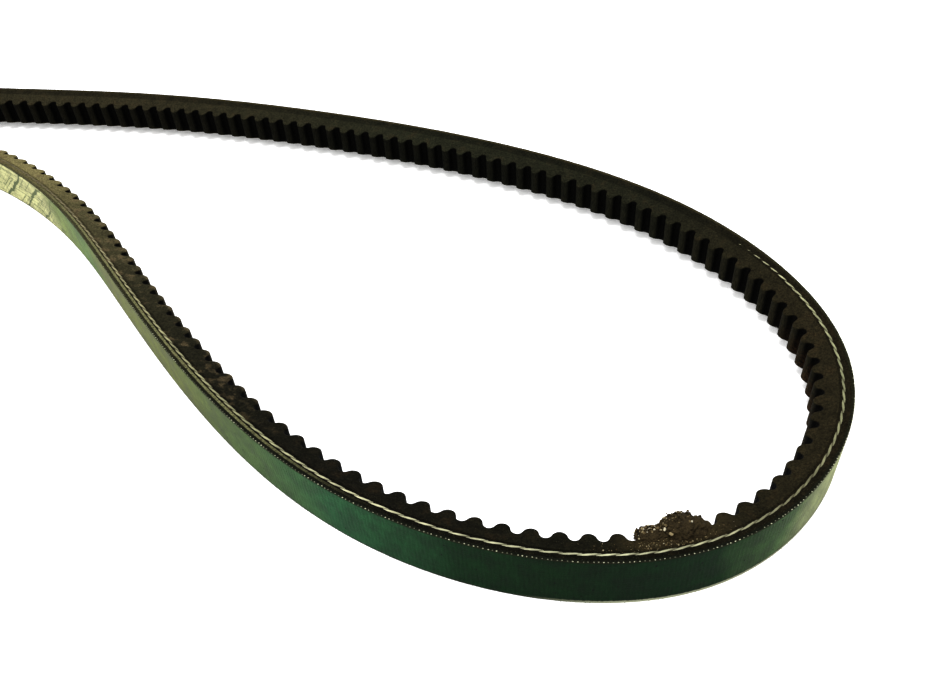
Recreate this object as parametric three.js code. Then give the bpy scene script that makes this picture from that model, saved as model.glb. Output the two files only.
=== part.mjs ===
// An endless raw-edge cogged V-belt, lying on one flank in a relaxed two-lobed loop.
// Millimetres, +Z up. The loop lies level, the lower edge of its back touches z = 0, and the
// origin is the centre of the loop's bounding rectangle on that surface.
import * as THREE from "three";

// Belt section. Depth is measured inwards from the back, towards the middle of the loop.
const TOP_WIDTH = 13;
const HALF_V_ANGLE = THREE.MathUtils.degToRad(18.5);
const PITCH_DEPTH = 2.05;
const LAYER_GAP = 0.05;
const FABRIC_THICKNESS = 0.7;
const TENSION_RUBBER_THICKNESS = 0.75;
const CUSHION_RUBBER_THICKNESS = 0.4;
const COG_CREST_DEPTH = 8.1;
const COG_VALLEY_DEPTH = 5.9;

// Tensile cord, wound side by side across the belt and cut flush by both flanks.
const CORD_DIAMETER = 1.0;
const CORD_TURNS = 7;
const CORD_SPACING = 1.76;

// Cogs. Valley and crest widths are shares of one cog's length.
const COG_COUNT = 202;
const VALLEY_SHARE = 0.3;
const CREST_SHARE = 0.34;
const COGS_PER_CELL = 2;

// The belt bends at these four valleys, counted along the loop from the route's start. They are
// the corners of a parallelogram, so the loop stays closed when it flexes.
const FLEX_VALLEYS = [9, 37, 66, 98];
const CUT_VALLEY = 103;
const FLEX_LIMIT = THREE.MathUtils.degToRad(15);
const END_CLEARANCE = 0.3;

// Control points of the pitch line, a closed uniform cubic B-spline in the plane of the loop,
// and the centre of the finished belt's outline among them.
const ROUTE_POINTS = [
  [-52, 85], [16, 81], [87, 62], [151, 37], [209, -3], [238, -70],
  [196, -126], [128, -115], [81, -74], [39, -22], [6, 17], [-58, 61],
  [-110, 31], [-165, -14], [-230, 23], [-229, 95], [-168, 132], [-109, 92],
];
const ROUTE_CENTRE = [-0.12, 0.09];
const ROUTE_DIVISIONS = 6000;

const FINISHES = {
  fabric: { color: 0x2f5a41, roughness: 0.8, metalness: 0 },
  tension: { color: 0x26261f, roughness: 0.8, metalness: 0 },
  cord: { color: 0xb4b69e, roughness: 0.7, metalness: 0 },
  cushion: { color: 0x2c2a23, roughness: 0.8, metalness: 0 },
  compression: { color: 0x22201b, roughness: 0.85, metalness: 0 },
};

/** A closed uniform cubic B-spline through the plane, run once round for t from 0 to 1. */
class BeltRoute extends THREE.Curve {
  constructor(controls) {
    super();
    this.controls = controls;
    this.arcLengthDivisions = ROUTE_DIVISIONS;
  }

  getPoint(t, target = new THREE.Vector3()) {
    const count = this.controls.length;
    const first = Math.floor(t * count);
    const f = t * count - first;
    const weights = [
      (1 - f) ** 3 / 6,
      (3 * f ** 3 - 6 * f ** 2 + 4) / 6,
      (-3 * f ** 3 + 3 * f ** 2 + 3 * f + 1) / 6,
      f ** 3 / 6,
    ];
    target.set(0, 0, 0);
    weights.forEach((weight, k) => {
      const [x, y] = this.controls[(first + k + count - 1) % count];
      target.x += weight * (x - ROUTE_CENTRE[0]);
      target.y += weight * (y - ROUTE_CENTRE[1]);
    });
    return target;
  }
}

const route = new BeltRoute(ROUTE_POINTS);

/** The pitch line's point and inward normal at a place counted in cogs along the loop. */
function stationAt(cog) {
  const share = THREE.MathUtils.euclideanModulo(cog / COG_COUNT, 1);
  const point = route.getPointAt(share);
  const tangent = route.getTangentAt(share);
  return { point, tangent, inward: new THREE.Vector3(tangent.y, -tangent.x, 0) };
}

/** Places a depth on the chord between a cell's two ends, so that neighbouring layers match. */
function onCell(cell, cog, depth) {
  const share = (cog - cell.from) / (cell.to - cell.from);
  const offset = depth - PITCH_DEPTH;
  const start = cell.start.point.clone().addScaledVector(cell.start.inward, offset);
  const end = cell.end.point.clone().addScaledVector(cell.end.inward, offset);
  return start.lerp(end, share);
}

/** How far a span's end stands back from its valley, widening away from the pitch line. */
function setback(depth, flexes) {
  const wedge = flexes ? Math.abs(depth - PITCH_DEPTH) * Math.tan(FLEX_LIMIT / 2) : 0;
  return END_CLEARANCE / 2 + wedge;
}

/** A span cut into cells of a few cogs, each with its two stations. */
function cellsOf(span) {
  const cells = [];
  for (let from = span.from; from < span.to; from += COGS_PER_CELL) {
    const to = Math.min(from + COGS_PER_CELL, span.to);
    cells.push({ from, to, start: stationAt(from), end: stationAt(to) });
  }
  return cells;
}

/** The two heights of a V-shaped layer at a depth: both flanks lean in towards the cogs. */
function vFlanks(depth) {
  const lean = depth * Math.tan(HALF_V_ANGLE);
  return [lean, TOP_WIDTH - lean];
}

/** Outline of a plain layer over one cell, as [cog, depth] corners. */
function plainOutline(outer, inner) {
  return (cell) => [
    [cell.from, outer],
    [cell.from, inner],
    [cell.to, inner],
    [cell.to, outer],
  ];
}

/** Outline of the cogged layer over one cell: flat outer face, trapezoid cogs inside. */
function coggedOutline(outer) {
  return (cell) => {
    const outline = [[cell.from, outer], [cell.from, COG_VALLEY_DEPTH]];
    for (let cog = cell.from; cog < cell.to; cog += 1) {
      const crest = cog + 0.5;
      outline.push([cog + VALLEY_SHARE / 2, COG_VALLEY_DEPTH]);
      outline.push([crest - CREST_SHARE / 2, COG_CREST_DEPTH]);
      outline.push([crest + CREST_SHARE / 2, COG_CREST_DEPTH]);
      outline.push([cog + 1 - VALLEY_SHARE / 2, COG_VALLEY_DEPTH]);
    }
    outline.push([cell.to, COG_VALLEY_DEPTH], [cell.to, outer]);
    return outline;
  };
}

/** Closed solid of one layer along one span: flank faces, walls between them and two ends. */
function layerGeometry(span, outlineOf, heightsAt) {
  const corners = [];
  const cells = cellsOf(span);
  const cogLength = route.getLength() / COG_COUNT;

  const place = (cell, [cog, depth], side) => {
    const point = onCell(cell, cog, depth);
    if (cog === span.from) {
      point.addScaledVector(cell.start.tangent, setback(depth, span.flexesAtStart));
    }
    if (cog === span.to) {
      point.addScaledVector(cell.end.tangent, -setback(depth, span.flexesAtEnd));
    }
    point.z = heightsAt(depth)[side];
    return point;
  };

  for (const cell of cells) {
    const outline = outlineOf(cell);
    const below = outline.map((corner) => place(cell, corner, 0));
    const above = outline.map((corner) => place(cell, corner, 1));
    const flat = outline.map(([cog, depth]) => new THREE.Vector2(cog * cogLength, depth));
    for (const [a, b, c] of THREE.ShapeUtils.triangulateShape(flat, [])) {
      corners.push(above[a], above[c], above[b], below[a], below[b], below[c]);
    }
    outline.forEach(([cog], i) => {
      const next = (i + 1) % outline.length;
      const crossesBelt = outline[next][0] === cog;
      const isSpanEnd = cog === span.from || cog === span.to;
      if (crossesBelt && !isSpanEnd) return;
      corners.push(above[i], below[next], above[next], above[i], below[i], below[next]);
    });
  }
  return new THREE.BufferGeometry().setFromPoints(corners);
}

/** Adds one named layer of a span to the belt. */
function addLayer(belt, span, part, finish, outlineOf, heightsAt) {
  const geometry = layerGeometry(span, outlineOf, heightsAt);
  geometry.computeVertexNormals();
  const mesh = new THREE.Mesh(geometry, new THREE.MeshStandardMaterial(FINISHES[finish]));
  mesh.name = `${span.name}_${part}`;
  belt.add(mesh);
}

/** The tensile cord's turns, side by side at the pitch line. */
function addCords(belt, span, outer, inner) {
  for (let turn = 0; turn < CORD_TURNS; turn += 1) {
    const height = TOP_WIDTH / 2 + (turn - (CORD_TURNS - 1) / 2) * CORD_SPACING;
    const heights = () => [height - CORD_DIAMETER / 2, height + CORD_DIAMETER / 2];
    addLayer(belt, span, `cord_${turn + 1}`, "cord", plainOutline(outer, inner), heights);
  }
}

/** Every layer of one span, from the back inwards. */
function addSpan(belt, span) {
  const tensionTop = FABRIC_THICKNESS + LAYER_GAP;
  const tensionBottom = tensionTop + TENSION_RUBBER_THICKNESS;
  const cordTop = PITCH_DEPTH - CORD_DIAMETER / 2;
  const cordBottom = PITCH_DEPTH + CORD_DIAMETER / 2;
  const cushionTop = cordBottom + LAYER_GAP;
  const cushionBottom = cushionTop + CUSHION_RUBBER_THICKNESS;
  const compressionTop = cushionBottom + LAYER_GAP;

  addLayer(belt, span, "back_fabric", "fabric", plainOutline(0, FABRIC_THICKNESS), vFlanks);
  addLayer(belt, span, "tension_rubber", "tension",
    plainOutline(tensionTop, tensionBottom), vFlanks);
  addCords(belt, span, cordTop, cordBottom);
  addLayer(belt, span, "cushion_rubber", "cushion",
    plainOutline(cushionTop, cushionBottom), vFlanks);
  addLayer(belt, span, "compression_rubber", "compression",
    coggedOutline(compressionTop), vFlanks);
}

/** The spans between neighbouring bends, from the cut all the way round and back to it. */
function makeSpans() {
  const stops = [CUT_VALLEY - COG_COUNT, ...FLEX_VALLEYS, CUT_VALLEY];
  return stops.slice(1).map((to, i) => ({
    name: `span_${i + 1}`,
    from: stops[i],
    to,
    flexesAtStart: i > 0,
    flexesAtEnd: i < FLEX_VALLEYS.length,
  }));
}

const belt = new THREE.Group();
belt.name = "cogged_v_belt";
for (const span of makeSpans()) addSpan(belt, span);

export default belt;
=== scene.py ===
"""A raw-edge cogged V-belt lying on its side: fine meshes and materials around the CAD frame.

Lengths are millimetres until a mesh is made, which turns them into metres. Places along the belt
are counted in cogs from the start of its route, and depth is measured inwards from its back.
"""
import math

import bmesh
import bpy
import numpy as np
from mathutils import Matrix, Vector, noise


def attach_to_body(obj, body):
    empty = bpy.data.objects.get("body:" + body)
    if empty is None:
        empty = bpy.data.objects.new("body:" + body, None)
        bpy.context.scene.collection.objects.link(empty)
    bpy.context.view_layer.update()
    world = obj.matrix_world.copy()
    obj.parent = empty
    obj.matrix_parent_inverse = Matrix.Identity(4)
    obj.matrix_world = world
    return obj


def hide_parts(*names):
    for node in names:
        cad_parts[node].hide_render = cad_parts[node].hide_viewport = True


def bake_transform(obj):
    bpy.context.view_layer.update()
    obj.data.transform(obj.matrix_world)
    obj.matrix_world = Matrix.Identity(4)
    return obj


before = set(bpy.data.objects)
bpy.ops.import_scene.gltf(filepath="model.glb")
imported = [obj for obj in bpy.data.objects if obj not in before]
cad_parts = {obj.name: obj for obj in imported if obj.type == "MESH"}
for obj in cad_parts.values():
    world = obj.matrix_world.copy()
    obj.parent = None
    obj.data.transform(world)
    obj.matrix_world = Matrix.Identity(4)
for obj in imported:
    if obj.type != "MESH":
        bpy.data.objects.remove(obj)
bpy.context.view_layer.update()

MM = 0.001

# The belt's section and route, as the CAD has them.
TOP_WIDTH = 13.0
HALF_V = math.radians(18.5)
PITCH_DEPTH = 2.05
FABRIC_THICKNESS = 0.7
TENSION_DEPTH = 1.5
CUSHION_DEPTH = 3.0
CREST_DEPTH = 8.1
VALLEY_DEPTH = 5.9
COG_COUNT = 202
CORD_TURNS = 7
CORD_SPACING = 1.76
FLEX_VALLEYS = (9, 37, 66, 98)
CUT_VALLEY = 103
ROUTE_POINTS = (
    (-52, 85), (16, 81), (87, 62), (151, 37), (209, -3), (238, -70),
    (196, -126), (128, -115), (81, -74), (39, -22), (6, 17), (-58, 61),
    (-110, 31), (-165, -14), (-230, 23), (-229, 95), (-168, 132), (-109, 92),
)
ROUTE_CENTRE = (-0.12, 0.09)

# How the visual belt is divided: a stretch round each hinge, and ones riding a single span between.
FLEX_HALF = 4
BLEND_HALF = 3.6
PATTERN_SEAM = -64
ROOT_SPLITS = (PATTERN_SEAM, -31)

# Cog outline: a round crest and a round valley joined by their common tangent.
CREST_RADIUS = 1.62
VALLEY_RADIUS = 1.28
CREST_STEPS = 12
VALLEY_STEPS = 4

# The cogged body's section: its softened corner, and how many columns each part of it has.
COG_CORNER = 0.3
FLANK_COLUMNS = 7
CORNER_COLUMNS = 4
FACE_COLUMNS = 10

# Columns across the flat layers, and rows of each layer in one cog's length.
FABRIC_COLUMNS = 15
LAYER_COLUMNS = 9
FABRIC_ROWS = 6
LAYER_ROWS = 8
CORD_ROWS = 18
INNER_CORD_ROWS = 2

# The share of its width that a flat layer's back keeps inside its softened corners.
SOFT_RIM = 0.98

# How uneven each surface is: waves round the loop, how far it strays, and its seed.
CLOTH_TOP_EDGE = (1500, 0.04, 1)
CLOTH_BOTTOM_EDGE = (1500, 0.04, 2)
LAYER_FLANK = (1632, 0.015, 3)
MOULDED_FACE = (2000, 0.03, 5)
COG_FLANK = (1632, 0.015, 7)
CORD_DRIFT = {-1: (260, 0.05, 8), 1: (260, 0.05, 9)}

# Twisted cord at each flank: it is proud of the flank where it shows, and sinks in over CORD_FADE
# cogs. Its lays are the turns its strands make in the whole loop.
STRANDS = 3
STRAND_RADIUS = 0.35
STRAND_OFFSET = 0.15
CORD_RADIUS = STRAND_OFFSET + STRAND_RADIUS
CORD_SIDES = 8
CORD_LAYS = 112
OUTER_TURN = (CORD_TURNS - 1) / 2 * CORD_SPACING
CORD_PROUD = 0.1
CORD_BURIED = -0.2
CORD_FADE = 14
CORD_SHOWS = {1: (44, 138), -1: (-64, 60)}

# Cut yarn ends and loose fibres along the cloth's edges. Each end is a low dome, its rings given
# as (size, level). A stretch's first end can have a number below zero, so seeds start higher up.
YARN_SPACING = 0.88
YARN_DEPTH = 0.11
YARN_SIDES = 8
YARN_RINGS = ((1.0, -0.1), (0.85, 0.6), (0.45, 1.0))
YARN_WIDTHS = (0.11, 0.17)
YARN_THICKNESSES = (0.09, 0.13)
YARN_RISES = (0.03, 0.09)
YARN_SPACING_STRAY = 0.09
YARN_DEPTH_STRAY = 0.03
YARN_SEEDS_FROM = 9999
FRAYS_PER_COG = 0.5
FRAY_LENGTHS = (0.25, 0.8)
FRAY_DEPTHS = (0.1, 0.6)
FRAY_RADIUS = 0.02
FRAY_STEPS = 6
FRAY_SIDES = 6

# The lump of dried soil.
CLUMP_COG = 72.4
LUMP_SUNK = 0.6
LUMP_BROAD = 0.16
LUMP_FINE = 0.07
GRAIN_COUNT = 900
GRAIN_SMALLEST = 0.1
GRAIN_RANGE = 0.26
GRAINS_FROM_DEPTH = 6.0
GRAINS_FROM_COG = 71.4
DUST_COUNT = 700
DUST_SMALLEST = 0.05
DUST_RANGE = 0.12
DUST_COG = 72.6
DUST_DEPTHS = (2.9, 5.7)
# Each lump: its cog and depth, then its half size along the belt, inwards and out of the flank.
DIRT_LUMPS = (
    (72.15, 7.3, 4.7, 3.9, 3.1),
    (73.3, 6.9, 3.6, 2.4, 1.5),
    (71.5, 6.6, 2.3, 2.5, 1.4),
)

# Lengths of the belt that look different, in cogs: where each fades in, is full, and fades out.
WORN_LENGTH = (109, 114, 121, 126)
# The length of the cloth's lower edge with a painted rim of light from the table.
PAINTED_RIM_LENGTH = (58, 66, 74, 78)
DUSTED_LENGTH = (86, 94, 118, 128)
RUBBED_LENGTH = (82, 91, 108, 116)
SOILED_LENGTH = (55, 60, 67, 71)

# The worn length's slanting strokes.
WEAR_SLANT = 1.4
STROKE_SPACING = 12.5

# The table top, bright enough to stay white but for the thin shadows at the belt's foot.
FLOOR_HALF = 3.0
FLOOR_GLOW = 0.3

# Square soft lamps, as (place, side, power), and the point they are aimed at.
LAMPS = {
    "overhead": ((0.06, 0.03, 1.0), 0.6, 8.0),
    "front": ((-0.35, -0.9, 0.6), 0.8, 6.0),
}
LAMP_AIM = (0.05, 0, 0)

# The camera, fitted to the photograph's perspective.
CAMERA_AT = (0.1568, -0.2004, 0.1334)
CAMERA_PITCH = 0.6894
CAMERA_ROLL = -0.0065
FOCAL_MM = 30.35
SENSOR_MM = 36.0
SHIFT = (-0.0727, -0.0306)

# Below 1 it deepens the dark tones and leaves white as it is, as the photograph's processing did.
CONTRAST_GAMMA = 0.8

SEED = 11
rng = np.random.default_rng(SEED)


# ---------------------------------------------------------------- route and placing

def route_table(samples=36000):
    """Distance along the pitch line, points and tangents of the closed cubic B-spline."""
    controls = np.array(ROUTE_POINTS, float) - ROUTE_CENTRE
    count = len(controls)
    travel = np.linspace(0, count, samples + 1)
    first = np.floor(travel).astype(int)
    part = travel - first
    weights = ((1 - part) ** 3, 3 * part ** 3 - 6 * part ** 2 + 4,
               -3 * part ** 3 + 3 * part ** 2 + 3 * part + 1, part ** 3)
    slopes = (-3 * (1 - part) ** 2, 9 * part ** 2 - 12 * part, -9 * part ** 2 + 6 * part + 3,
              3 * part ** 2)
    near = [controls[(first + step - 1) % count] for step in range(4)]
    points = sum(weight[:, None] * control for weight, control in zip(weights, near)) / 6
    tangents = sum(slope[:, None] * control for slope, control in zip(slopes, near))
    tangents /= np.linalg.norm(tangents, axis=1)[:, None]
    steps = np.linalg.norm(np.diff(points, axis=0), axis=1)
    return np.concatenate([[0], np.cumsum(steps)]), points, tangents


DISTANCE, POINTS, TANGENTS = route_table()
BELT_LENGTH = DISTANCE[-1]
COG_LENGTH = BELT_LENGTH / COG_COUNT


def station(cog):
    """Pitch-line point and unit tangent at each place along the belt."""
    distance = np.mod(np.asarray(cog, float), COG_COUNT) * COG_LENGTH
    point = np.stack([np.interp(distance, DISTANCE, values) for values in POINTS.T], -1)
    tangent = np.stack([np.interp(distance, DISTANCE, values) for values in TANGENTS.T], -1)
    return point, tangent / np.linalg.norm(tangent, axis=-1, keepdims=True)


def place(cog, depth, height):
    """Points in space, in millimetres, for places along the belt, depths and heights."""
    cog, depth, height = np.broadcast_arrays(cog, depth, height)
    point, tangent = station(cog)
    inward = np.stack([tangent[..., 1], -tangent[..., 0]], -1)
    flat = point + inward * (depth - PITCH_DEPTH)[..., None]
    return np.concatenate([flat, height[..., None]], -1)


def half_width(depth):
    """Half the belt's width at a depth."""
    return TOP_WIDTH / 2 - depth * math.tan(HALF_V)


def eased(share):
    """A share kept from 0 to 1, with a smooth start and end."""
    share = np.clip(share, 0, 1)
    return share * share * (3 - 2 * share)


def wobble(cog, waves, reach, seed):
    """Smooth random values along the belt, up to reach either way, the same after one loop."""
    values = np.random.default_rng(seed).uniform(-1, 1, waves)
    at = np.mod(np.asarray(cog, float), COG_COUNT) / COG_COUNT * waves
    low = np.floor(at).astype(int)
    share = eased(at - low)
    return reach * (values[low % waves] * (1 - share) + values[(low + 1) % waves] * share)


# ---------------------------------------------------------------- stretches

def make_stretches():
    """Every length of belt that is one piece per layer, with the bodies it rides on."""
    stretches = []
    edges = (CUT_VALLEY - COG_COUNT, *ROOT_SPLITS, FLEX_VALLEYS[0] - FLEX_HALF)
    for low, high in zip(edges[:-1], edges[1:]):
        stretches.append({"low": low, "high": high, "bodies": ("span_1",)})
    for number, valley in enumerate(FLEX_VALLEYS, 1):
        low, high = valley - FLEX_HALF, valley + FLEX_HALF
        stretches.append({"low": low, "high": high, "valley": valley,
                          "bodies": (f"span_{number}", f"span_{number + 1}")})
        last = number == len(FLEX_VALLEYS)
        following = CUT_VALLEY if last else FLEX_VALLEYS[number] - FLEX_HALF
        stretches.append({"low": high, "high": following, "bodies": (f"span_{number + 1}",)})
    for number, stretch in enumerate(stretches, 1):
        stretch["name"] = f"{number:02d}"
    return stretches


def attach(piece, stretch, *parts):
    """Rides a piece on its span and hides the CAD nodes it stands for; a piece across a joint is fixed
    where it is.
    """
    bodies = stretch["bodies"]
    if len(bodies) == 2:
        ends = [stretch["valley"] - BLEND_HALF, stretch["valley"] + BLEND_HALF]
        start, end = place(np.array(ends), PITCH_DEPTH, TOP_WIDTH / 2) * MM
        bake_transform(piece)
        return
    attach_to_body(piece, bodies[0])
    if parts:
        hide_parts(*(f"{bodies[0]}_{part}" for part in parts))


# ---------------------------------------------------------------- meshes

def make_mesh(name, points, faces, material, belt=None, mask=None, sharp=40):
    """One mesh object from points in millimetres, with the patterns' coordinates on it."""
    points = np.asarray(points, float).reshape(-1, 3)
    faces = np.asarray(faces, np.int32)
    corners = faces.shape[1]
    mesh = bpy.data.meshes.new(name)
    mesh.vertices.add(len(points))
    mesh.vertices.foreach_set("co", (points * MM).astype(np.float32).ravel())
    mesh.loops.add(faces.size)
    mesh.loops.foreach_set("vertex_index", faces.ravel())
    mesh.polygons.add(len(faces))
    mesh.polygons.foreach_set("loop_start", np.arange(0, faces.size, corners, dtype=np.int32))
    mesh.polygons.foreach_set("use_smooth", np.ones(len(faces), bool))
    mesh.update(calc_edges=True)
    mesh.validate()
    mesh.set_sharp_from_angle(angle=math.radians(sharp))
    store(mesh, "rest", points)
    store(mesh, "belt", points if belt is None else np.asarray(belt, float).reshape(-1, 3))
    if mask is not None:
        attribute = mesh.attributes.new("mask", "FLOAT", "POINT")
        attribute.data.foreach_set("value", np.asarray(mask, np.float32).ravel())
    mesh.materials.append(material)
    piece = bpy.data.objects.new(name, mesh)
    bpy.context.scene.collection.objects.link(piece)
    return piece


def store(mesh, name, values):
    """Keeps one vector per vertex, for the materials to read."""
    attribute = mesh.attributes.new(name, "FLOAT_VECTOR", "POINT")
    attribute.data.foreach_set("vector", values.astype(np.float32).ravel())


def pattern_cog(cog):
    """Place along the belt for the patterns, which join up in the hidden lobe."""
    return cog + COG_COUNT if np.max(cog) <= PATTERN_SEAM else cog


def pattern_places(cog, second, third):
    """Coordinates for the patterns: distance along the belt and two more values."""
    return np.stack(np.broadcast_arrays(pattern_cog(cog) * COG_LENGTH, second, third), -1)


def swept_faces(rows, columns):
    """Quads of a closed ring swept along rows, and the strips of quads that close its two ends."""
    row, column = np.meshgrid(np.arange(rows - 1), np.arange(columns), indexing="ij")
    after = (column + 1) % columns
    here = row * columns
    ahead = here + columns
    side = np.stack([here + column, ahead + column, ahead + after, here + after], -1)
    side = side.reshape(-1, 4)
    step = np.arange(columns // 2 - 1)
    cap = np.stack([step, columns - 1 - step, columns - 2 - step, step + 1], -1)
    return np.concatenate([side, cap[:, ::-1], cap + (rows - 1) * columns])


def sweep(name, cog, depth, height, material, mask=None, sharp=40):
    """A closed solid from a grid of places: rows run along the belt, columns round its section."""
    cog, depth, height = np.broadcast_arrays(cog, depth, height)
    points = place(cog, depth, height)
    belt = pattern_places(cog, depth, height)
    return make_mesh(name, points, swept_faces(*cog.shape), material, belt, mask, sharp)


def merge(name, shells, material, sharp=40):
    """One mesh from closed shells, each given as its points, faces, belt places and mask."""
    points, faces, belts, masks = zip(*shells)
    starts = np.cumsum([0] + [len(shell) for shell in points[:-1]])
    faces = [shell + start for shell, start in zip(faces, starts)]
    return make_mesh(name, np.concatenate(points), np.concatenate(faces), material,
                     np.concatenate(belts), np.concatenate(masks), sharp)


def along(stretch, per_cog):
    """Evenly spaced places along a stretch, as a column."""
    count = (stretch["high"] - stretch["low"]) * per_cog
    return np.linspace(stretch["low"], stretch["high"], count + 1)[:, None]


def band_section(outer, inner, columns, corner):
    """Depths and shares of the half width round a flat layer, its outer corners softened."""
    across = np.linspace(1, -1, columns)
    back = [(outer, share * SOFT_RIM) for share in across]
    edge = [(outer + corner * 0.3, 1.0), (outer + corner, 1.0)]
    front = [(inner, share) for share in across[::-1]]
    ring = back + [(depth, -share) for depth, share in edge] + front + edge[::-1]
    return np.array(ring).T


# ---------------------------------------------------------------- pieces of belt

def fabric_piece(stretch, material):
    """The cloth over the back, its edges cut slightly unevenly."""
    depth, side = band_section(0.0, FABRIC_THICKNESS, FABRIC_COLUMNS, corner=0.12)
    cog = along(stretch, FABRIC_ROWS)
    uneven = np.where(side > 0, wobble(cog, *CLOTH_TOP_EDGE), wobble(cog, *CLOTH_BOTTOM_EDGE))
    at_edge = np.abs(side) > 0.9
    height = TOP_WIDTH / 2 + side * (half_width(depth) + uneven * at_edge)
    return sweep(f"back_fabric_{stretch['name']}", cog, depth, height, material)


def layer_piece(stretch, name, outer, inner, recess, material):
    """A flat rubber layer whose two flanks are ground to just inside the fabric's edges."""
    depth, side = band_section(outer, inner, LAYER_COLUMNS, corner=0.05)
    cog = along(stretch, LAYER_ROWS)
    ground = wobble(cog, *LAYER_FLANK) - recess
    height = TOP_WIDTH / 2 + side * (half_width(depth) + ground)
    return sweep(f"{name}_{stretch['name']}", cog, depth, height, material)


def cog_outline():
    """One cog from valley to valley, as (place within the cog, depth)."""
    crest = np.array([COG_LENGTH / 2, CREST_DEPTH - CREST_RADIUS])
    valley = np.array([0.0, VALLEY_DEPTH + VALLEY_RADIUS])
    apart = valley - crest
    turn = math.acos((CREST_RADIUS + VALLEY_RADIUS) / np.hypot(*apart))
    normal = math.atan2(apart[1], apart[0]) - turn
    low = np.linspace(-math.pi / 2, normal - math.pi, VALLEY_STEPS + 1)
    rise = valley + VALLEY_RADIUS * np.stack([np.cos(low), np.sin(low)], -1)
    top = np.linspace(normal, math.pi - normal, CREST_STEPS + 1)
    dome = crest + CREST_RADIUS * np.stack([np.cos(top), np.sin(top)], -1)
    wall = rise[-1] + (dome[0] - rise[-1]) * np.array([[1 / 3], [2 / 3]])
    left = np.concatenate([rise, wall])
    right = np.stack([COG_LENGTH - left[::-1, 0], left[::-1, 1]], -1)
    outline = np.concatenate([left, dome, right])[:-1]
    return outline[:, 0] / COG_LENGTH, outline[:, 1]


def cogged_section(cog, inner):
    """Depths and heights round the body's section, where its inner face is at a given depth."""
    down = np.linspace(0, 1, FLANK_COLUMNS)
    turn = np.linspace(0, math.pi / 2, CORNER_COLUMNS)[1:]
    across = np.linspace(1, -1, FACE_COLUMNS)[1:-1]
    ground = wobble(cog, *COG_FLANK)
    flank = CUSHION_DEPTH + (inner - COG_CORNER - CUSHION_DEPTH) * down
    flank_height = half_width(flank) + ground
    rounded = inner - COG_CORNER + COG_CORNER * np.sin(turn)
    rounded_height = half_width(rounded) + ground - COG_CORNER * (1 - np.cos(turn))
    face = inner + 0 * across
    face_height = (half_width(inner) - COG_CORNER) * across
    depth = np.concatenate([flank, rounded, face, rounded[:, ::-1], flank[:, ::-1]], 1)
    height = np.concatenate([flank_height, rounded_height, face_height,
                             -rounded_height[:, ::-1], -flank_height[:, ::-1]], 1)
    return depth[:, ::-1], TOP_WIDTH / 2 + height[:, ::-1]


def compression_piece(stretch, material):
    """The cogged body: ground flanks, softened edges and a moulded inner face."""
    within, profile = cog_outline()
    cogs = np.arange(stretch["low"], stretch["high"])
    cog = np.append((cogs[:, None] + within).ravel(), stretch["high"])[:, None]
    inner = np.append(np.tile(profile, len(cogs)), profile[0])[:, None]
    depth, height = cogged_section(cog, inner + wobble(cog, *MOULDED_FACE))
    lift = (depth - VALLEY_DEPTH) / (CREST_DEPTH - VALLEY_DEPTH)
    name = f"compression_rubber_{stretch['name']}"
    return sweep(name, cog, depth, height, material, mask=np.clip(lift, 0, 1), sharp=50)


def cord_exposure(cog, side):
    """How far the flank cord's outer turn is cut open: 1 where it shows, 0 where rubber covers it."""
    shows_from, shows_to = CORD_SHOWS[side]
    at = pattern_cog(cog)
    return eased((at - shows_from) / CORD_FADE) * eased((shows_to - at) / CORD_FADE)


def strand_shell(cog, side, strand):
    """One of the strands laid round each other on a flank, as a shell for merge."""
    lay = 2 * math.pi * (cog / COG_COUNT * CORD_LAYS + strand / STRANDS)
    turn = np.linspace(0, 2 * math.pi, CORD_SIDES, endpoint=False)
    radial = STRAND_RADIUS * np.cos(turn) + STRAND_OFFSET
    tangential = STRAND_RADIUS * np.sin(turn)
    proud = CORD_BURIED + (CORD_PROUD - CORD_BURIED) * cord_exposure(cog, side)
    drift = wobble(cog, *CORD_DRIFT[side])
    depth = PITCH_DEPTH + drift + radial * np.cos(lay) - tangential * np.sin(lay)
    out = OUTER_TURN + proud + radial * np.sin(lay) + tangential * np.cos(lay)
    points = place(cog, depth, TOP_WIDTH / 2 + side * out)
    faces = swept_faces(*depth.shape)
    crown = np.broadcast_to(np.clip(radial / CORD_RADIUS, 0, 1), depth.shape)
    return (points.reshape(-1, 3), faces if side > 0 else faces[:, ::-1],
            pattern_places(cog, turn, strand).reshape(-1, 3), crown.ravel())


def flank_cord_piece(stretch, side, material):
    """The twisted cord that shows on one flank."""
    cog = along(stretch, CORD_ROWS)
    shells = [strand_shell(cog, side, strand) for strand in range(STRANDS)]
    edge = "top" if side > 0 else "bottom"
    return merge(f"flank_cord_{edge}_{stretch['name']}", shells, material, sharp=80)


def inner_turn_shell(cog, turn):
    """One inner turn of the cord, round and plain, as a shell for merge."""
    angle = np.linspace(0, 2 * math.pi, CORD_SIDES, endpoint=False)
    middle = TOP_WIDTH / 2 + (turn - (CORD_TURNS - 1) / 2) * CORD_SPACING
    depth = PITCH_DEPTH + CORD_RADIUS * np.cos(angle)
    points = place(cog, depth, middle + CORD_RADIUS * np.sin(angle)).reshape(-1, 3)
    belt = pattern_places(cog, angle, turn).reshape(-1, 3)
    return points, swept_faces(len(cog), CORD_SIDES), belt, np.ones(len(points))


def inner_cords_piece(stretch, material):
    """The cord's inner turns, held inside the rubber."""
    cog = along(stretch, INNER_CORD_ROWS)
    shells = [inner_turn_shell(cog, turn) for turn in range(1, CORD_TURNS - 1)]
    return merge(f"inner_cords_{stretch['name']}", shells, material)


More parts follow.
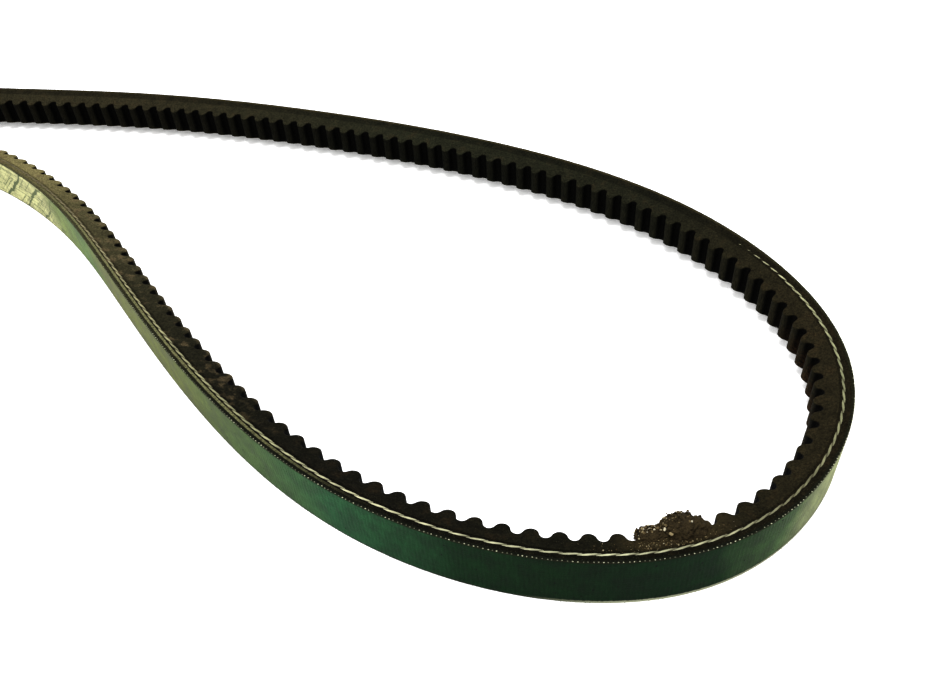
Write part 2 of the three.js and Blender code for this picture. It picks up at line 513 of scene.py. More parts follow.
def edge_yarns_piece(stretch, material):
    """The cut ends of the cloth's cross yarns, a row of pale dots at both of its edges."""
    first = math.ceil(stretch["low"] * COG_LENGTH / YARN_SPACING + 0.5)
    last = math.floor(stretch["high"] * COG_LENGTH / YARN_SPACING - 0.5)
    per_edge = last + 1 - first
    shape = (2 * per_edge, 1, 1)
    number = np.tile(np.arange(first, last + 1), 2).reshape(shape)
    side = np.repeat([1.0, -1.0], per_edge).reshape(shape)
    draws = np.random.default_rng([SEED, first + YARN_SEEDS_FROM])
    middle = (number + draws.normal(0, YARN_SPACING_STRAY, shape)) * YARN_SPACING / COG_LENGTH
    width = draws.uniform(*YARN_WIDTHS, shape)
    thickness = draws.uniform(*YARN_THICKNESSES, shape)
    rise = draws.uniform(*YARN_RISES, shape)
    centre = YARN_DEPTH + draws.normal(0, YARN_DEPTH_STRAY, shape)
    shade = draws.uniform(0, 1, shape)
    turn = np.linspace(0, 2 * math.pi, YARN_SIDES, endpoint=False)
    size, level = (np.array(column)[:, None] for column in zip(*YARN_RINGS))
    cog = middle + width * size * np.cos(turn) / COG_LENGTH
    depth = centre + thickness * size * np.sin(turn)
    height = rise * level + 0 * turn
    points = place(cog, depth, TOP_WIDTH / 2 + side * (half_width(depth) + height))
    ring = swept_faces(len(YARN_RINGS), YARN_SIDES)
    starts = np.arange(2 * per_edge) * len(YARN_RINGS) * YARN_SIDES
    faces = [(ring if one_side > 0 else ring[:, ::-1]) + start
             for start, one_side in zip(starts, side.ravel())]
    belt = pattern_places(cog, depth, height)
    return make_mesh(f"edge_yarns_{stretch['name']}", points, np.concatenate(faces), material,
                     belt, np.broadcast_to(shade, cog.shape), sharp=60)


def ball(divisions):
    """Corners and faces of an even, closed unit ball."""
    mesh = bmesh.new()
    bmesh.ops.create_icosphere(mesh, subdivisions=divisions, radius=1.0)
    corners = np.array([corner.co for corner in mesh.verts])
    faces = np.array([[corner.index for corner in face.verts] for face in mesh.faces])
    mesh.free()
    return corners, faces


def grains(name, cog, depth, height, size, shade, material):
    """Many rough little stones in one piece, each with its own place, shape and shade."""
    corners, faces = ball(2)
    count = len(cog)
    draws = np.random.default_rng([SEED, count])
    directions = draws.normal(0, 1, (count, 3, 3)).transpose(0, 2, 1)
    waves = np.sin(2.2 * corners @ directions + draws.uniform(0, 6, (count, 1, 3)))
    radius = 1 + 0.16 * waves.sum(-1)
    shape = corners * radius[..., None] * draws.uniform(0.65, 1.15, (count, 1, 3))
    points = place(cog, depth, height)[:, None, :] + shape * size[:, None, None]
    starts = np.arange(count)[:, None, None] * len(corners)
    shade = np.broadcast_to(shade[:, None], (count, len(corners)))
    piece = make_mesh(name, points, (faces + starts).reshape(-1, 3), material,
                      mask=shade, sharp=35)
    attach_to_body(piece, "span_4")


def soil_lump(name, cog, depth, reach, tall, thick, material):
    """A closed lumpy body packed on the flank; its surface is given back for grains."""
    corners, faces = ball(5)
    broad = np.array([noise.fractal(Vector(at) * 1.7, 0.8, 2.0, 4) for at in corners])
    fine = np.array([noise.fractal(Vector(at) * 7.0, 0.7, 2.0, 4) for at in corners])
    shape = corners * (1 + LUMP_BROAD * broad + LUMP_FINE * fine)[:, None]
    at = cog + shape[:, 0] * reach / COG_LENGTH
    deep = depth + shape[:, 1] * tall
    out = shape[:, 2] * thick - LUMP_SUNK
    height = TOP_WIDTH / 2 + half_width(deep) + out
    shade = np.clip(0.36 + 0.3 * fine, 0, 1)
    piece = make_mesh(name, place(at, deep, height), faces, material, mask=shade, sharp=50)
    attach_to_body(piece, "span_4")
    showing = (out > 0) | (deep > CREST_DEPTH)
    return at[showing], deep[showing], height[showing]


def soil_grains(cog, depth, height, material):
    """Coarse grains on the lumps' surface, thickest where it is deep and further along the belt."""
    weight = np.clip((depth - GRAINS_FROM_DEPTH) / 3.0, 0.02, 1)
    weight = weight * np.clip(cog - GRAINS_FROM_COG, 0.15, 1)
    spots = rng.choice(len(cog), GRAIN_COUNT, replace=False, p=weight / weight.sum())
    jitter = rng.normal(0, 0.12, (2, GRAIN_COUNT))
    size = GRAIN_SMALLEST + GRAIN_RANGE * rng.uniform(0, 1, GRAIN_COUNT) ** 2.2
    shade = rng.uniform(0, 1, GRAIN_COUNT) ** 0.7
    grains("dirt_grains", cog[spots], depth[spots] + jitter[0], height[spots] + jitter[1],
           size, shade, material)


def soil_dust(material):
    """Fine grains on the flank round the lumps."""
    away = rng.normal(0, 1.0, DUST_COUNT)
    depth = rng.uniform(*DUST_DEPTHS, DUST_COUNT) - 0.2 * np.abs(away)
    height = TOP_WIDTH / 2 + half_width(depth) + rng.uniform(-0.03, 0.03, DUST_COUNT)
    size = DUST_SMALLEST + DUST_RANGE * rng.uniform(0, 1, DUST_COUNT) ** 2.5
    shade = rng.uniform(0, 0.97, DUST_COUNT)
    grains("dirt_dust", DUST_COG + away, depth, height, size, shade, material)


def dirt_clump(material):
    """Dried soil packed over three cogs of the near run, thinning out over the flank."""
    surfaces = [soil_lump(f"dirt_lump_{number}", *lump, material)
                for number, lump in enumerate(DIRT_LUMPS, 1)]
    cog, depth, height = (np.concatenate(part) for part in zip(*surfaces))
    soil_grains(cog, depth, height, material)
    soil_dust(material)


def fray_points(cog, depth, side, length):
    """A short loose fibre's curve, leaving an edge of the cloth, never below the table."""
    steps = np.linspace(0, 1, FRAY_STEPS)
    lean, lift, curl = rng.uniform(-0.7, 0.7), rng.uniform(0.3, 1.0), rng.uniform(-0.5, 0.5)
    run = cog + length * (lean * steps + curl * steps ** 2) / COG_LENGTH
    outward = depth - length * 0.45 * lift * steps
    rise = half_width(depth) + length * (0.6 * steps - 0.35 * curl * steps ** 2) * lift
    points = place(run, outward, TOP_WIDTH / 2 + side * rise)
    points[:, 2] = np.maximum(points[:, 2], FRAY_RADIUS)
    return points


def tube(points, radius, sides):
    """Vertices and faces of a thin tapering tube along points."""
    ahead = np.gradient(points, axis=0)
    ahead /= np.linalg.norm(ahead, axis=1)[:, None]
    aside = np.cross(ahead, [0.31, 0.47, 0.83])
    aside /= np.linalg.norm(aside, axis=1)[:, None]
    up = np.cross(ahead, aside)
    angle = np.linspace(0, 2 * math.pi, sides, endpoint=False)[None, :, None]
    taper = np.linspace(1, 0.4, len(points))[:, None, None] * radius
    ring = points[:, None] + taper * (aside[:, None] * np.cos(angle) + up[:, None] * np.sin(angle))
    return ring.reshape(-1, 3), swept_faces(len(points), sides)


def frays_piece(stretch, material):
    """Loose fibres along the cloth's two cut edges."""
    count = math.ceil((stretch["high"] - stretch["low"]) * FRAYS_PER_COG)
    points, faces = [], []
    for _ in range(count):
        cog = rng.uniform(stretch["low"] + 0.3, stretch["high"] - 0.3)
        side = rng.choice((-1, 1))
        depth = rng.uniform(*FRAY_DEPTHS)
        fibre = fray_points(cog, depth, side, rng.uniform(*FRAY_LENGTHS))
        corners, quads = tube(fibre, FRAY_RADIUS, FRAY_SIDES)
        faces.append(quads + len(points) * len(corners))
        points.append(corners)
    return make_mesh(f"frays_{stretch['name']}", np.concatenate(points), np.concatenate(faces),
                     material, sharp=90)


# ---------------------------------------------------------------- materials

def srgb(red, green, blue):
    """A linear colour from the usual 0 to 255 values."""
    linear = [value / 255 / 12.92 if value / 255 <= 0.04045 else ((value / 255 + 0.055) / 1.055) ** 2.4
              for value in (red, green, blue)]
    return (*linear, 1)


class Nodes:
    """One material being made; each method adds a node and gives back its output socket."""

    def __init__(self, name):
        self.material = bpy.data.materials.new(name)
        self.material.use_nodes = True
        self.tree = self.material.node_tree
        self.shader = self.tree.nodes["Principled BSDF"]

    def add(self, kind, inputs=(), **settings):
        """A new node with its settings, and its inputs fed from sockets or values."""
        node = self.tree.nodes.new(kind)
        for key, value in settings.items():
            setattr(node, key, value)
        for key, value in dict(inputs).items():
            self.feed(node.inputs[key], value)
        return node

    def feed(self, socket, value):
        """Links a socket into another, or sets a plain value on it."""
        if isinstance(value, bpy.types.NodeSocket):
            self.tree.links.new(value, socket)
        else:
            socket.default_value = value

    def coordinates(self, name):
        """A vector kept on the mesh: rest is the place in space, belt the place on the belt."""
        return self.add("ShaderNodeAttribute", attribute_name=name).outputs["Vector"]

    def value(self, name):
        """A single value kept on the mesh."""
        return self.add("ShaderNodeAttribute", attribute_name=name).outputs["Fac"]

    def split(self, vector):
        return self.add("ShaderNodeSeparateXYZ", {"Vector": vector}).outputs

    def join(self, x, y, z):
        return self.add("ShaderNodeCombineXYZ", {"X": x, "Y": y, "Z": z}).outputs["Vector"]

    def scaled(self, vector, x, y, z):
        """A vector with each of its three values multiplied."""
        node = self.add("ShaderNodeVectorMath", {0: vector, 1: (x, y, z)}, operation="MULTIPLY")
        return node.outputs["Vector"]

    def noise(self, vector, scale, detail=3, roughness=0.55):
        inputs = {"Vector": vector, "Scale": scale, "Detail": detail, "Roughness": roughness}
        return self.add("ShaderNodeTexNoise", inputs).outputs["Fac"]

    def cells(self, vector, scale):
        """Distance to the nearest of many scattered points."""
        return self.add("ShaderNodeTexVoronoi", {"Vector": vector, "Scale": scale}).outputs["Distance"]

    def math(self, operation, first, second=0.0):
        node = self.add("ShaderNodeMath", {0: first, 1: second}, operation=operation)
        return node.outputs["Value"]

    def plus(self, first, second):
        return self.math("ADD", first, second)

    def minus(self, first, second):
        return self.math("SUBTRACT", first, second)

    def times(self, first, second):
        return self.math("MULTIPLY", first, second)

    def away(self, value, middle):
        """How far a value is from a middle one, either way."""
        return self.math("ABSOLUTE", self.minus(value, middle))

    def span(self, value, low, high, to_low=0.0, to_high=1.0):
        """A value's smooth rise from to_low to to_high as it goes from low to high."""
        inputs = {"Value": value, "From Min": low, "From Max": high,
                  "To Min": to_low, "To Max": to_high}
        node = self.add("ShaderNodeMapRange", inputs, interpolation_type="SMOOTHSTEP")
        return node.outputs["Result"]

    def within(self, cog, length):
        """1 in the middle of a length of the belt, fading to 0 at its ends."""
        fade_in, full_from, full_to, fade_out = length
        return self.times(self.span(cog, fade_in, full_from), self.span(cog, fade_out, full_to))

    def mix(self, share, first, second):
        """The first colour where the share is 0, the second where it is 1."""
        node = self.add("ShaderNodeMix", {0: share}, data_type="RGBA")
        self.feed(node.inputs[6], first)
        self.feed(node.inputs[7], second)
        return node.outputs[2]

    def tint(self, colour, amount):
        """A colour made lighter or darker by a value round 1."""
        base = colour[:3] if isinstance(colour, tuple) else colour
        node = self.add("ShaderNodeVectorMath", {0: base, "Scale": amount}, operation="SCALE")
        return node.outputs["Vector"]

    def shades(self, value, stops):
        """A colour that changes with a value, such as a cog, through (value, colour) stops."""
        low, high = stops[0][0], stops[-1][0]
        ramp = self.add("ShaderNodeValToRGB")
        inputs = {"Value": value, "From Min": low, "From Max": high}
        self.feed(ramp.inputs["Fac"], self.add("ShaderNodeMapRange", inputs).outputs["Result"])
        elements = ramp.color_ramp.elements
        while len(elements) < len(stops):
            elements.new(0.5)
        for element, (at, colour) in zip(elements, stops):
            element.position = (at - low) / (high - low)
            element.color = colour
        return ramp.outputs["Color"]

    def bump(self, height, distance, normal=None):
        """Raised detail: height from 0 to 1 over a distance in millimetres."""
        inputs = {"Height": height, "Distance": distance * MM}
        if normal is not None:
            inputs["Normal"] = normal
        return self.add("ShaderNodeBump", inputs).outputs["Normal"]

    def finish(self, colour, roughness, normal=None, *, gloss):
        """The material, with its colour, roughness, bumps and gloss set on its shader."""
        self.shader.inputs["Specular IOR Level"].default_value = gloss
        self.feed(self.shader.inputs["Base Color"], colour)
        self.feed(self.shader.inputs["Roughness"], roughness)
        if normal is not None:
            self.feed(self.shader.inputs["Normal"], normal)
        return self.material


# Colours along the belt, as (cog, colour) stops.
# The cloth's own colours and worn length, with painted light: the stops from cog 86 to 127 are partly
# wear and partly painted light, and the pale stops from cog 56 to 70 are painted sheen.
FABRIC_COLOURS_AND_PAINTED_LIGHT = (
    (-64, srgb(22, 42, 26)), (40, srgb(21, 40, 25)), (56, srgb(100, 108, 74)),
    (62, srgb(176, 174, 132)), (65, srgb(158, 162, 118)), (68.2, srgb(118, 125, 92)),
    (70.2, srgb(62, 82, 53)), (72.5, srgb(20, 39, 22)), (75, srgb(15, 33, 18)),
    (78, srgb(15, 33, 17)), (81, srgb(17, 39, 21)), (86, srgb(41, 75, 50)),
    (92, srgb(74, 87, 54)), (97, srgb(88, 94, 56)), (105, srgb(96, 100, 62)),
    (109, srgb(88, 108, 68)), (112, srgb(108, 118, 76)), (114.5, srgb(166, 166, 124)),
    (120, srgb(172, 171, 128)), (127, srgb(60, 80, 50)), (138, srgb(22, 42, 26)),
)
CUT_EDGE_SHADES = (
    (-64, srgb(30, 30, 20)), (2, srgb(48, 43, 27)), (20, srgb(56, 50, 31)),
    (46, srgb(52, 47, 30)), (58, srgb(34, 33, 21)), (70, srgb(20, 22, 14)),
    (90, srgb(20, 22, 14)), (104, srgb(50, 49, 33)), (118, srgb(78, 76, 52)),
    (138, srgb(30, 30, 20)),
)
FLANK_SHADES = (
    (-64, srgb(34, 32, 23)), (0, srgb(46, 43, 30)), (12, srgb(45, 42, 29)),
    (30, srgb(36, 37, 26)), (46, srgb(32, 32, 22)), (56, srgb(38, 34, 22)),
    (66, srgb(38, 34, 22)), (74, srgb(24, 23, 14)), (85, srgb(21, 20, 14)),
    (92, srgb(27, 26, 18)), (101, srgb(48, 46, 32)), (109, srgb(76, 72, 50)),
    (116, srgb(118, 111, 76)), (138, srgb(34, 32, 23)),
)
CORD_SHADES = (
    (-64, srgb(176, 176, 146)), (44, srgb(140, 138, 108)), (52, srgb(184, 182, 146)),
    (60, srgb(142, 144, 112)), (68, srgb(124, 122, 94)), (75, srgb(188, 188, 156)),
    (84, srgb(190, 188, 154)), (89, srgb(150, 150, 116)), (101, srgb(150, 146, 112)),
    (106, srgb(140, 133, 102)), (112, srgb(108, 100, 74)), (138, srgb(100, 94, 70)),
)
YARN_SHADES = (
    (-64, srgb(70, 64, 42)), (46, srgb(96, 92, 62)), (52, srgb(140, 144, 108)),
    (60, srgb(196, 198, 168)), (96, srgb(196, 198, 168)), (108, srgb(120, 118, 86)),
    (138, srgb(70, 64, 42)),
)
# The soil's colours, as (shade, colour) stops.
DIRT_SHADES = (
    (0.0, srgb(26, 22, 13)), (0.36, srgb(54, 46, 30)), (0.6, srgb(62, 53, 35)),
    (0.8, srgb(112, 98, 70)), (0.93, srgb(140, 128, 98)), (1.0, srgb(222, 216, 192)),
)


def cloth_tones(nodes, colour, patterns):
    """The cloth's colour varied by its mottling, grain, threads and ribs."""
    ribs, fine, threads, mottle, grain = patterns
    colour = nodes.tint(colour, nodes.span(mottle, 0.3, 0.72, 0.74, 1.34))
    colour = nodes.tint(colour, nodes.span(grain, 0.25, 0.75, 0.82, 1.2))
    colour = nodes.tint(colour, nodes.span(fine, 0.3, 0.7, 0.88, 1.12))
    colour = nodes.tint(colour, nodes.span(threads, 0.3, 0.7, 0.93, 1.07))
    return nodes.tint(colour, nodes.plus(0.965, nodes.times(ribs, 0.07)))


def wear_lines(nodes, rest, belt, distance, height):
    """Where the worn length has slanting strokes, fine slanting scores or lengthwise scores."""
    lay = nodes.plus(distance, nodes.times(height, WEAR_SLANT))
    waver = nodes.times(nodes.noise(rest, 0.12, 2), 5.0)
    turn = nodes.plus(nodes.times(lay, 2 * math.pi / STROKE_SPACING), waver)
    strokes = nodes.span(nodes.math("SINE", turn), 0.88, 0.97)
    slanting = nodes.join(nodes.times(lay, 0.75), 0.0, nodes.times(height, 0.08))
    scores = nodes.span(nodes.noise(slanting, 1.0, 3), 0.56, 0.63)
    lengthwise = nodes.span(nodes.noise(nodes.scaled(belt, 0.05, 1, 1.3), 1.0, 2), 0.52, 0.6)
    broken = nodes.span(nodes.noise(rest, 1.2, 2), 0.35, 0.6, 0.25, 0.9)
    return nodes.math("MAXIMUM", strokes, nodes.times(nodes.math("MAXIMUM", scores, lengthwise), broken))


def cloth_edges(nodes, colour, rest, cog, height):
    """Grime along both edges, and on one length of the lower one a pale rim of painted light from the
    table, over a dark line.
    """
    edge = nodes.minus(TOP_WIDTH / 2, nodes.away(height, TOP_WIDTH / 2))
    rough_edge = nodes.plus(edge, nodes.times(nodes.noise(rest, 2.0, 3), -0.35))
    darkening = nodes.times(nodes.span(rough_edge, 0.3, 0.05), 0.85)
    colour = nodes.mix(darkening, colour, srgb(30, 30, 20))
    below = nodes.plus(height, nodes.times(nodes.noise(rest, 1.6, 3), -0.5))
    painted_rim_mask = nodes.within(cog, PAINTED_RIM_LENGTH)
    dark_line = nodes.times(painted_rim_mask, nodes.span(below, 1.0, 0.65, 0, 0.6))
    # Painted light: a pale rim along the lower edge, as if lit from the table.
    painted_lit_rim = nodes.times(painted_rim_mask, nodes.span(below, 0.62, 0.3))
    colour = nodes.mix(dark_line, colour, srgb(14, 20, 13))
    return nodes.mix(painted_lit_rim, colour, srgb(142, 145, 122))


def fabric_material():
    """Green rubberised cloth: fine cross ribs, mottling, dark specks, a pale worn length that is partly
    painted light, and painted sheen on the pale length from cog 56 to 70.
    """
    nodes = Nodes("back_fabric")
    rest = nodes.coordinates("rest")
    belt = nodes.coordinates("belt")
    distance, depth, height = nodes.split(belt)
    cog = nodes.math("DIVIDE", distance, COG_LENGTH)
    waver = nodes.times(nodes.noise(rest, 0.7, 2), 2.5)
    turn = nodes.plus(nodes.times(distance, 2 * math.pi / YARN_SPACING), waver)
    ribs = nodes.span(nodes.math("SINE", turn), -1, 1)
    fine = nodes.noise(nodes.scaled(belt, 3.4, 1, 0.35), 1.0, 2)
    threads = nodes.noise(nodes.scaled(belt, 0.25, 1, 3.2), 1.0, 2)
    mottle = nodes.noise(rest, 0.22, 5, 0.62)
    grain = nodes.noise(rest, 3.5, 3, 0.6)

    drifting = nodes.plus(cog, nodes.times(nodes.noise(rest, 0.05, 2), 3.0))
    # Colours along the belt, with painted light and painted sheen in some of their stops.
    colour = nodes.shades(drifting, FABRIC_COLOURS_AND_PAINTED_LIGHT)
    colour = cloth_tones(nodes, colour, (ribs, fine, threads, mottle, grain))
    worn = nodes.times(wear_lines(nodes, rest, belt, distance, height), nodes.within(cog, WORN_LENGTH))
    colour = nodes.mix(nodes.times(worn, 0.85), colour, srgb(52, 68, 44))
    specks = nodes.span(nodes.cells(rest, 0.33), 0.09, 0.05)
    colour = nodes.mix(specks, colour, srgb(10, 14, 10))
    colour = cloth_edges(nodes, colour, rest, cog, height)
    cut_shade = nodes.tint(nodes.shades(cog, CUT_EDGE_SHADES), nodes.span(grain, 0.3, 0.7, 0.4, 1.6))
    colour = nodes.mix(nodes.span(depth, 0.04, 0.14), colour, cut_shade)

    woven = nodes.plus(nodes.times(ribs, 0.5), nodes.times(grain, 0.7))
    normal = nodes.bump(nodes.plus(fine, threads), 0.04, nodes.bump(woven, 0.05))
    return nodes.finish(colour, nodes.span(mottle, 0.3, 0.7, 0.5, 0.66), normal, gloss=0.03)


def on_flank(nodes, depth, height):
    """1 on the belt's ground flanks, falling to 0 well inside them."""
    half = nodes.minus(TOP_WIDTH / 2, nodes.times(depth, math.tan(HALF_V)))
    inset = nodes.minus(half, nodes.away(height, TOP_WIDTH / 2))
    return nodes.span(inset, 0.45, 0.05)


def rubbed_flank(nodes, ground, cog, depth, patches, coarse, olive):
    """The flank with tan dust on its patches, lighter near the cog tips, and olive rubbing under the
    cloth.
    """
    dusted = nodes.within(cog, DUSTED_LENGTH)
    tan = nodes.times(dusted, nodes.span(patches, 0.5, 0.66, 0, 0.6))
    ground = nodes.mix(tan, ground, srgb(92, 81, 60))
    tips = nodes.times(dusted, nodes.span(depth, 6.9, 8.0, 0, 0.5))
    ground = nodes.mix(tips, ground, srgb(100, 91, 70))
    rubbed = nodes.times(nodes.within(cog, RUBBED_LENGTH), nodes.span(depth, 0.82, 1.0, 0, olive))
    return nodes.mix(nodes.times(rubbed, nodes.span(coarse, 0.2, 0.5)), ground, srgb(112, 112, 80))


def soil_film(nodes, ground, cog, depth, coarse):
    """The flank with a thin film of soil round the clump."""
    near = nodes.span(nodes.away(cog, CLUMP_COG), 2.8, 0.9)
    film = nodes.times(near, nodes.span(depth, 1.6, 4.4))
    film = nodes.times(film, nodes.span(coarse, 0.25, 0.6, 0.35, 1.0))
    return nodes.mix(film, ground, srgb(56, 49, 32))


def moulded_face(nodes, ground, cog, height, fibres, coarse):
    """The cogs' moulded inner face: near black in its valleys from painted shade, greyer on its crests,
    dusty near soil.
    """
    crest = nodes.span(nodes.value("mask"), 0.55, 0.95)
    face = nodes.mix(0.5, nodes.tint(ground, 0.7), srgb(26, 26, 18))
    face = nodes.tint(face, nodes.span(cog, 30, 54, 0.4, 1.0))
    # Painted shade: the valleys between the cogs near black, lighter towards the crests.
    moulded = nodes.mix(crest, srgb(4, 4, 3), face)
    moulded = nodes.tint(moulded, nodes.span(fibres, 0.3, 0.7, 0.55, 1.45))
    low = nodes.span(height, 9.5, 3.0)
    dust = nodes.times(nodes.within(cog, SOILED_LENGTH), low)
    dust = nodes.times(dust, nodes.span(coarse, 0.36, 0.62))
    return nodes.mix(nodes.times(dust, 0.8), moulded, srgb(56, 40, 25))


def rubber(name, brown, speckle, darkness, olive=0.0):
    """Short-fibre rubber: dark, with brown patches and pale fibre ends on its cut flanks.

    Brown, speckle and olive are how strong its patches, fibre ends and rubbing are; darkness
    scales the flank's shade."""
    nodes = Nodes(name)
    rest = nodes.coordinates("rest")
    belt = nodes.coordinates("belt")
    distance, depth, height = nodes.split(belt)
    cog = nodes.math("DIVIDE", distance, COG_LENGTH)
    patches = nodes.noise(rest, 0.3, 4, 0.6)
    coarse = nodes.noise(rest, 2.0, 4, 0.7)
    grain = nodes.noise(rest, 5.0, 3, 0.65)
    fibres = nodes.noise(nodes.scaled(rest, 1, 1, 0.16), 4.5, 2, 0.6)

    ground = nodes.tint(nodes.shades(cog, FLANK_SHADES), darkness)
    ground = nodes.tint(ground, nodes.span(patches, 0.3, 0.7, 0.8, 1.2))
    ground = nodes.mix(nodes.span(patches, 0.5, 0.75, 0, brown), ground, srgb(46, 34, 20))
    ground = rubbed_flank(nodes, ground, cog, depth, patches, coarse, olive)
    ground = nodes.tint(ground, nodes.span(coarse, 0.3, 0.7, 0.5, 1.55))
    ground = nodes.tint(ground, nodes.span(grain, 0.3, 0.72, 0.7, 1.35))
    fibre_ends = nodes.span(nodes.cells(nodes.scaled(rest, 1, 1, 0.4), 2.6), 0.2, 0.1)
    ground = nodes.mix(nodes.times(fibre_ends, speckle), ground, srgb(72, 68, 50))
    ground = soil_film(nodes, ground, cog, depth, coarse)
    moulded = moulded_face(nodes, ground, cog, height, fibres, coarse)
    colour = nodes.mix(on_flank(nodes, depth, height), moulded, ground)

    scores = nodes.noise(nodes.scaled(belt, 0.12, 2.6, 1), 1.0, 3)
    normal = nodes.bump(nodes.plus(grain, nodes.times(scores, 0.6)), 0.06)
    normal = nodes.bump(fibres, 0.05, normal)
    return nodes.finish(colour, nodes.span(grain, 0.3, 0.7, 0.62, 0.85), normal, gloss=0.03)


def cord_material():
    """Pale twisted polyester cord, its fibres streaked, with a painted highlight on its strands' crowns
    and painted shade in its grooves.
    """
    nodes = Nodes("tensile_cord")
    rest = nodes.coordinates("rest")
    distance, turn, strand = nodes.split(nodes.coordinates("belt"))
    cog = nodes.math("DIVIDE", distance, COG_LENGTH)
    crown = nodes.value("mask")
    lengthwise = nodes.join(nodes.times(distance, 0.35), nodes.times(turn, 5.0), strand)
    streaks = nodes.noise(lengthwise, 1.0, 3)
    patches = nodes.noise(rest, 0.35, 3)
    pale = nodes.shades(cog, CORD_SHADES)
    colour = nodes.mix(streaks, nodes.tint(pale, 0.55), pale)
    colour = nodes.tint(colour, nodes.span(patches, 0.3, 0.7, 0.68, 1.15))
    # Painted highlight: lighter on the strands' crowns, darker towards the grooves.
    colour = nodes.tint(colour, nodes.span(crown, 0.55, 1.0, 0.7, 1.25))
    # Painted shade in the grooves between the strands.
    darkening = nodes.span(nodes.plus(crown, nodes.times(patches, 0.3)), 0.95, 0.45, 0, 0.75)
    colour = nodes.mix(darkening, colour, srgb(74, 70, 50))
    roughness = nodes.span(streaks, 0.3, 0.7, 0.45, 0.7)
    return nodes.finish(colour, roughness, nodes.bump(streaks, 0.03), gloss=0.15)


def yarn_material():
    """Off-white cut yarn ends, some of them stained."""
    nodes = Nodes("yarn_ends")
    rest = nodes.coordinates("rest")
    cog = nodes.math("DIVIDE", nodes.split(nodes.coordinates("belt"))[0], COG_LENGTH)
    pale = nodes.shades(cog, YARN_SHADES)
    colour = nodes.mix(nodes.span(nodes.value("mask"), 0.35, 1.0), nodes.tint(pale, 0.3), pale)
    colour = nodes.tint(colour, nodes.span(nodes.noise(rest, 6.0, 2), 0.3, 0.7, 0.75, 1.1))
    return nodes.finish(colour, 0.8, nodes.bump(nodes.noise(rest, 9.0, 2), 0.03), gloss=0.1)


def fray_material():
    """Loose grey-green fibres."""
    nodes = Nodes("frays")
    shade = nodes.noise(nodes.coordinates("rest"), 0.6, 2)
    return nodes.finish(nodes.mix(shade, srgb(50, 56, 42), srgb(150, 152, 128)), 0.7, gloss=0.1)


def dirt_material():
    """Dried soil: tan, grey and brown grains, a few of them bright."""
    nodes = Nodes("dirt")
    rest = nodes.coordinates("rest")
    colour = nodes.shades(nodes.value("mask"), DIRT_SHADES)
    colour = nodes.tint(colour, nodes.span(nodes.noise(rest, 5.0, 3), 0.3, 0.7, 0.6, 1.25))
    return nodes.finish(colour, 0.92, nodes.bump(nodes.noise(rest, 9.0, 3), 0.06), gloss=0.1)


# ---------------------------------------------------------------- stage

def floor():
    """A plain near-white table top."""
    half = FLOOR_HALF / MM
    corners = [(-half, -half, 0), (half, -half, 0), (half, half, 0), (-half, half, 0)]
    nodes = Nodes("table_top")
    tone = nodes.noise(nodes.coordinates("rest"), 0.002, 2)
    colour = nodes.mix(tone, (0.93, 0.93, 0.93, 1), (0.96, 0.96, 0.96, 1))
    nodes.shader.inputs["Emission Color"].default_value = (1, 1, 1, 1)
    nodes.shader.inputs["Emission Strength"].default_value = FLOOR_GLOW
    piece = make_mesh("floor", corners, [[0, 1, 2, 3]], nodes.finish(colour, 0.9, gloss=0.1))


def light(name, at, size, power):
    """A square soft lamp, aimed at the belt."""
    lamp = bpy.data.lights.new(name, "AREA")
    lamp.size = size
    lamp.energy = power
    holder = bpy.data.objects.new(name, lamp)
    holder.location = at
    holder.rotation_euler = (Vector(LAMP_AIM) - Vector(at)).to_track_quat("-Z", "Y").to_euler()
    bpy.context.scene.collection.objects.link(holder)


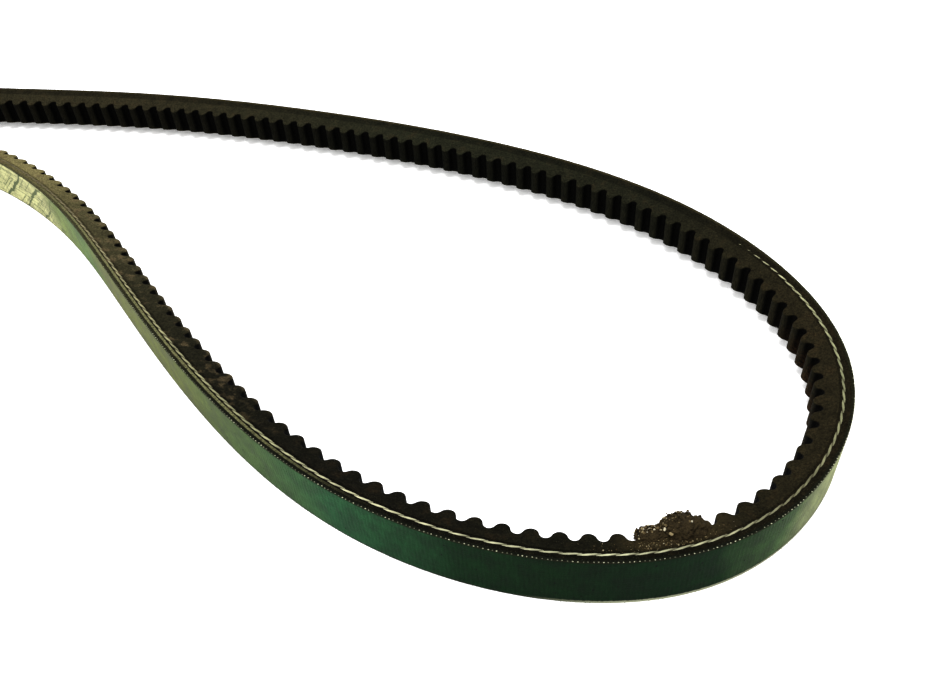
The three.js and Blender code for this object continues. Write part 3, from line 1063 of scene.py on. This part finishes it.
def stage():
    """Table, soft lights, a white surround and the photograph's camera."""
    floor()
    for name, (at, size, power) in LAMPS.items():
        light(name, at, size, power)
    world = bpy.data.worlds.new("surround")
    world.use_nodes = True
    background = world.node_tree.nodes["Background"]
    background.inputs["Color"].default_value = (1, 1, 1, 1)
    background.inputs["Strength"].default_value = 1.0
    bpy.context.scene.world = world
    bpy.context.scene.view_settings.view_transform = "Standard"
    bpy.context.scene.view_settings.gamma = CONTRAST_GAMMA

    lens = bpy.data.cameras.new("camera")
    lens.lens = FOCAL_MM
    lens.sensor_width = SENSOR_MM
    lens.shift_x, lens.shift_y = SHIFT
    lens.clip_start, lens.clip_end = 0.01, 20
    camera = bpy.data.objects.new("camera", lens)
    camera.location = CAMERA_AT
    camera.rotation_mode = "ZYX"
    camera.rotation_euler = (math.pi / 2 - CAMERA_PITCH, 0, CAMERA_ROLL)
    bpy.context.scene.collection.objects.link(camera)
    bpy.context.scene.camera = camera


# ---------------------------------------------------------------- the belt

def build_belt():
    """Every layer of every stretch, each riding on its span or fixed where it crosses a joint."""
    fabric = fabric_material()
    tension = rubber("tension_rubber", brown=0.25, speckle=0.9, darkness=0.62, olive=0.85)
    cushion = rubber("cushion_rubber", brown=0.2, speckle=0.5, darkness=0.6)
    compression = rubber("compression_rubber", brown=0.35, speckle=0.55, darkness=1.0)
    cord = cord_material()
    yarns = yarn_material()
    fray = fray_material()
    turns = [f"cord_{turn}" for turn in range(1, CORD_TURNS + 1)]
    for stretch in make_stretches():
        layers = (
            (fabric_piece(stretch, fabric), "back_fabric", ("back_fabric",)),
            (layer_piece(stretch, "tension_rubber", FABRIC_THICKNESS, TENSION_DEPTH, 0.03, tension),
             "tension_rubber", ("tension_rubber",)),
            (layer_piece(stretch, "cushion_rubber", TENSION_DEPTH, CUSHION_DEPTH, 0.06, cushion),
             "cushion_rubber", ("cushion_rubber",)),
            (compression_piece(stretch, compression), "compression_rubber", ("compression_rubber",)),
            (flank_cord_piece(stretch, 1, cord), "tensile_cord", turns[-1:]),
            (flank_cord_piece(stretch, -1, cord), "tensile_cord", turns[:1]),
            (inner_cords_piece(stretch, cord), "tensile_cord", turns[1:-1]),
            (edge_yarns_piece(stretch, yarns), "back_fabric", ()),
            (frays_piece(stretch, fray), "back_fabric", ()),
        )
        for piece, material_slot, parts in layers:
            attach(piece, stretch, *parts)


stage()
build_belt()
dirt_clump(dirt_material())
